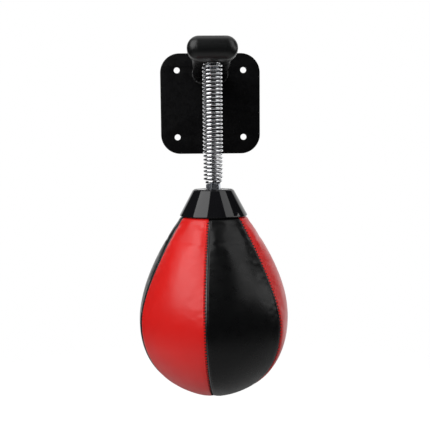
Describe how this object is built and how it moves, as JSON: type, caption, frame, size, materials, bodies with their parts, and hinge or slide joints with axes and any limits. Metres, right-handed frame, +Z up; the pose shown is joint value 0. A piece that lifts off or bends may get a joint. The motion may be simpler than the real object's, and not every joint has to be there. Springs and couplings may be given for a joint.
{
  "type": "wall-mounted spring speed ball",
  "caption": "Teardrop leather speed ball in alternating red and black panels, hung by a chromed coil spring from a flat-oval steel arm on a square wall plate.",
  "frame": {"origin": "centre of the wall plate's back face, which is also the centre of its screw pattern", "axes": "+Z up; +Y into the wall, so the arm projects along -Y; +X to the right as seen by the user facing the wall"},
  "size_m": [0.182, 0.276, 0.452],
  "materials": {
    "powder_coated_steel": "fine satin black powder coat",
    "cap_rubber": "smooth satin moulded rubber",
    "zinc_plated_steel": "bluish zinc plate, slightly worn",
    "spring_chrome": "bright chrome",
    "glossy_plastic": "polished black injection moulding",
    "ring_plastic": "matt moulded",
    "red_leather": "fine-grained satin synthetic leather",
    "black_leather": "fine-grained satin synthetic leather",
    "bladder_rubber": "natural latex",
    "valve_rubber": "matt"
  },
  "bodies": {
    "arm": {"wall_plate": "powder_coated_steel", "arm_tube": "powder_coated_steel", "arm_weld_bead": "powder_coated_steel", "arm_end_cap": "cap_rubber", "hanger_bolt": "zinc_plated_steel", "hanger_clamp_washer": "zinc_plated_steel", "hanger_washer": "zinc_plated_steel", "hanger_lock_washer": "zinc_plated_steel", "hanger_nut": "zinc_plated_steel"},
    "coils_1": {"spring_coils_1": "spring_chrome"},
    "coils_2": {"spring_coils_2": "spring_chrome"},
    "coils_3": {"spring_coils_3": "spring_chrome"},
    "coils_4": {"spring_coils_4": "spring_chrome"},
    "coils_5": {"spring_coils_5": "spring_chrome"},
    "coils_6": {"spring_coils_6": "spring_chrome"},
    "coils_7": {"spring_coils_7": "spring_chrome"},
    "coils_8": {"spring_coils_8": "spring_chrome"},
    "coils_9": {"spring_coils_9": "spring_chrome"},
    "ball": {"spring_coils_10": "spring_chrome", "ball_bolt": "zinc_plated_steel", "ball_washer": "zinc_plated_steel", "ball_lock_washer": "zinc_plated_steel", "ball_nut": "zinc_plated_steel", "ball_cup": "glossy_plastic", "cover_ring": "ring_plastic", "cover_panel_front_left_red": "red_leather", "cover_panel_front_right_black": "black_leather", "cover_panel_right_red": "red_leather", "cover_panel_rear_right_black": "black_leather", "cover_panel_rear_left_red": "red_leather", "cover_panel_left_black": "black_leather", "bladder": "bladder_rubber", "bladder_valve": "valve_rubber"}
  },
  "joints": [
    {"name": "bend_fore_aft_1", "type": "hinge", "parent": "arm", "child": "coils_1", "pos_m": [0, -0.185, 0.01606], "axis": [1, 0, 0], "range_deg": [-15, 8], "stiffness_Nm_per_rad": 1.7, "deforming": ["spring_coils_1"]},
    {"name": "bend_sideways_1", "type": "hinge", "parent": "coils_1", "child": "coils_2", "pos_m": [0, -0.185, 0.0027], "axis": [0, 1, 0], "range_deg": [-15, 15], "stiffness_Nm_per_rad": 1.7, "deforming": ["spring_coils_2"]},
    {"name": "stretch_1", "type": "slide", "parent": "coils_2", "child": "coils_3", "axis": [0, 0, -1], "range_m": [-0.0025, 0.005], "stiffness_N_per_m": 6560, "springref_m": -0.00085, "deforming": ["spring_coils_3"]},
    {"name": "bend_fore_aft_2", "type": "hinge", "parent": "coils_3", "child": "coils_4", "pos_m": [0, -0.185, -0.02308], "axis": [1, 0, 0], "range_deg": [-15, 8], "stiffness_Nm_per_rad": 1.7, "deforming": ["spring_coils_4"]},
    {"name": "bend_sideways_2", "type": "hinge", "parent": "coils_4", "child": "coils_5", "pos_m": [0, -0.185, -0.03644], "axis": [0, 1, 0], "range_deg": [-15, 15], "stiffness_Nm_per_rad": 1.7, "deforming": ["spring_coils_5"]},
    {"name": "stretch_2", "type": "slide", "parent": "coils_5", "child": "coils_6", "axis": [0, 0, -1], "range_m": [-0.0025, 0.005], "stiffness_N_per_m": 6560, "springref_m": -0.00085, "deforming": ["spring_coils_6"]},
    {"name": "bend_fore_aft_3", "type": "hinge", "parent": "coils_6", "child": "coils_7", "pos_m": [0, -0.185, -0.06222], "axis": [1, 0, 0], "range_deg": [-15, 8], "stiffness_Nm_per_rad": 1.7, "deforming": ["spring_coils_7"]},
    {"name": "bend_sideways_3", "type": "hinge", "parent": "coils_7", "child": "coils_8", "pos_m": [0, -0.185, -0.07557], "axis": [0, 1, 0], "range_deg": [-15, 15], "stiffness_Nm_per_rad": 1.7, "deforming": ["spring_coils_8"]},
    {"name": "stretch_3", "type": "slide", "parent": "coils_8", "child": "coils_9", "axis": [0, 0, -1], "range_m": [-0.0025, 0.005], "stiffness_N_per_m": 6560, "springref_m": -0.00085, "deforming": ["spring_coils_9"]},
    {"name": "spring_twist", "type": "hinge", "parent": "coils_9", "child": "ball", "pos_m": [0, -0.185, -0.10044], "axis": [0, 0, 1], "range_deg": [-45, 45], "stiffness_Nm_per_rad": 0.33, "deforming": ["spring_coils_10"]}
  ],
  "couplings": [
    {"joint": "bend_fore_aft_2", "follows": "bend_fore_aft_1", "ratio": 1},
    {"joint": "bend_sideways_2", "follows": "bend_sideways_1", "ratio": 1},
    {"joint": "stretch_2", "follows": "stretch_1", "ratio": 1},
    {"joint": "bend_fore_aft_3", "follows": "bend_fore_aft_1", "ratio": 1},
    {"joint": "bend_sideways_3", "follows": "bend_sideways_1", "ratio": 1},
    {"joint": "stretch_3", "follows": "stretch_1", "ratio": 1}
  ]
}
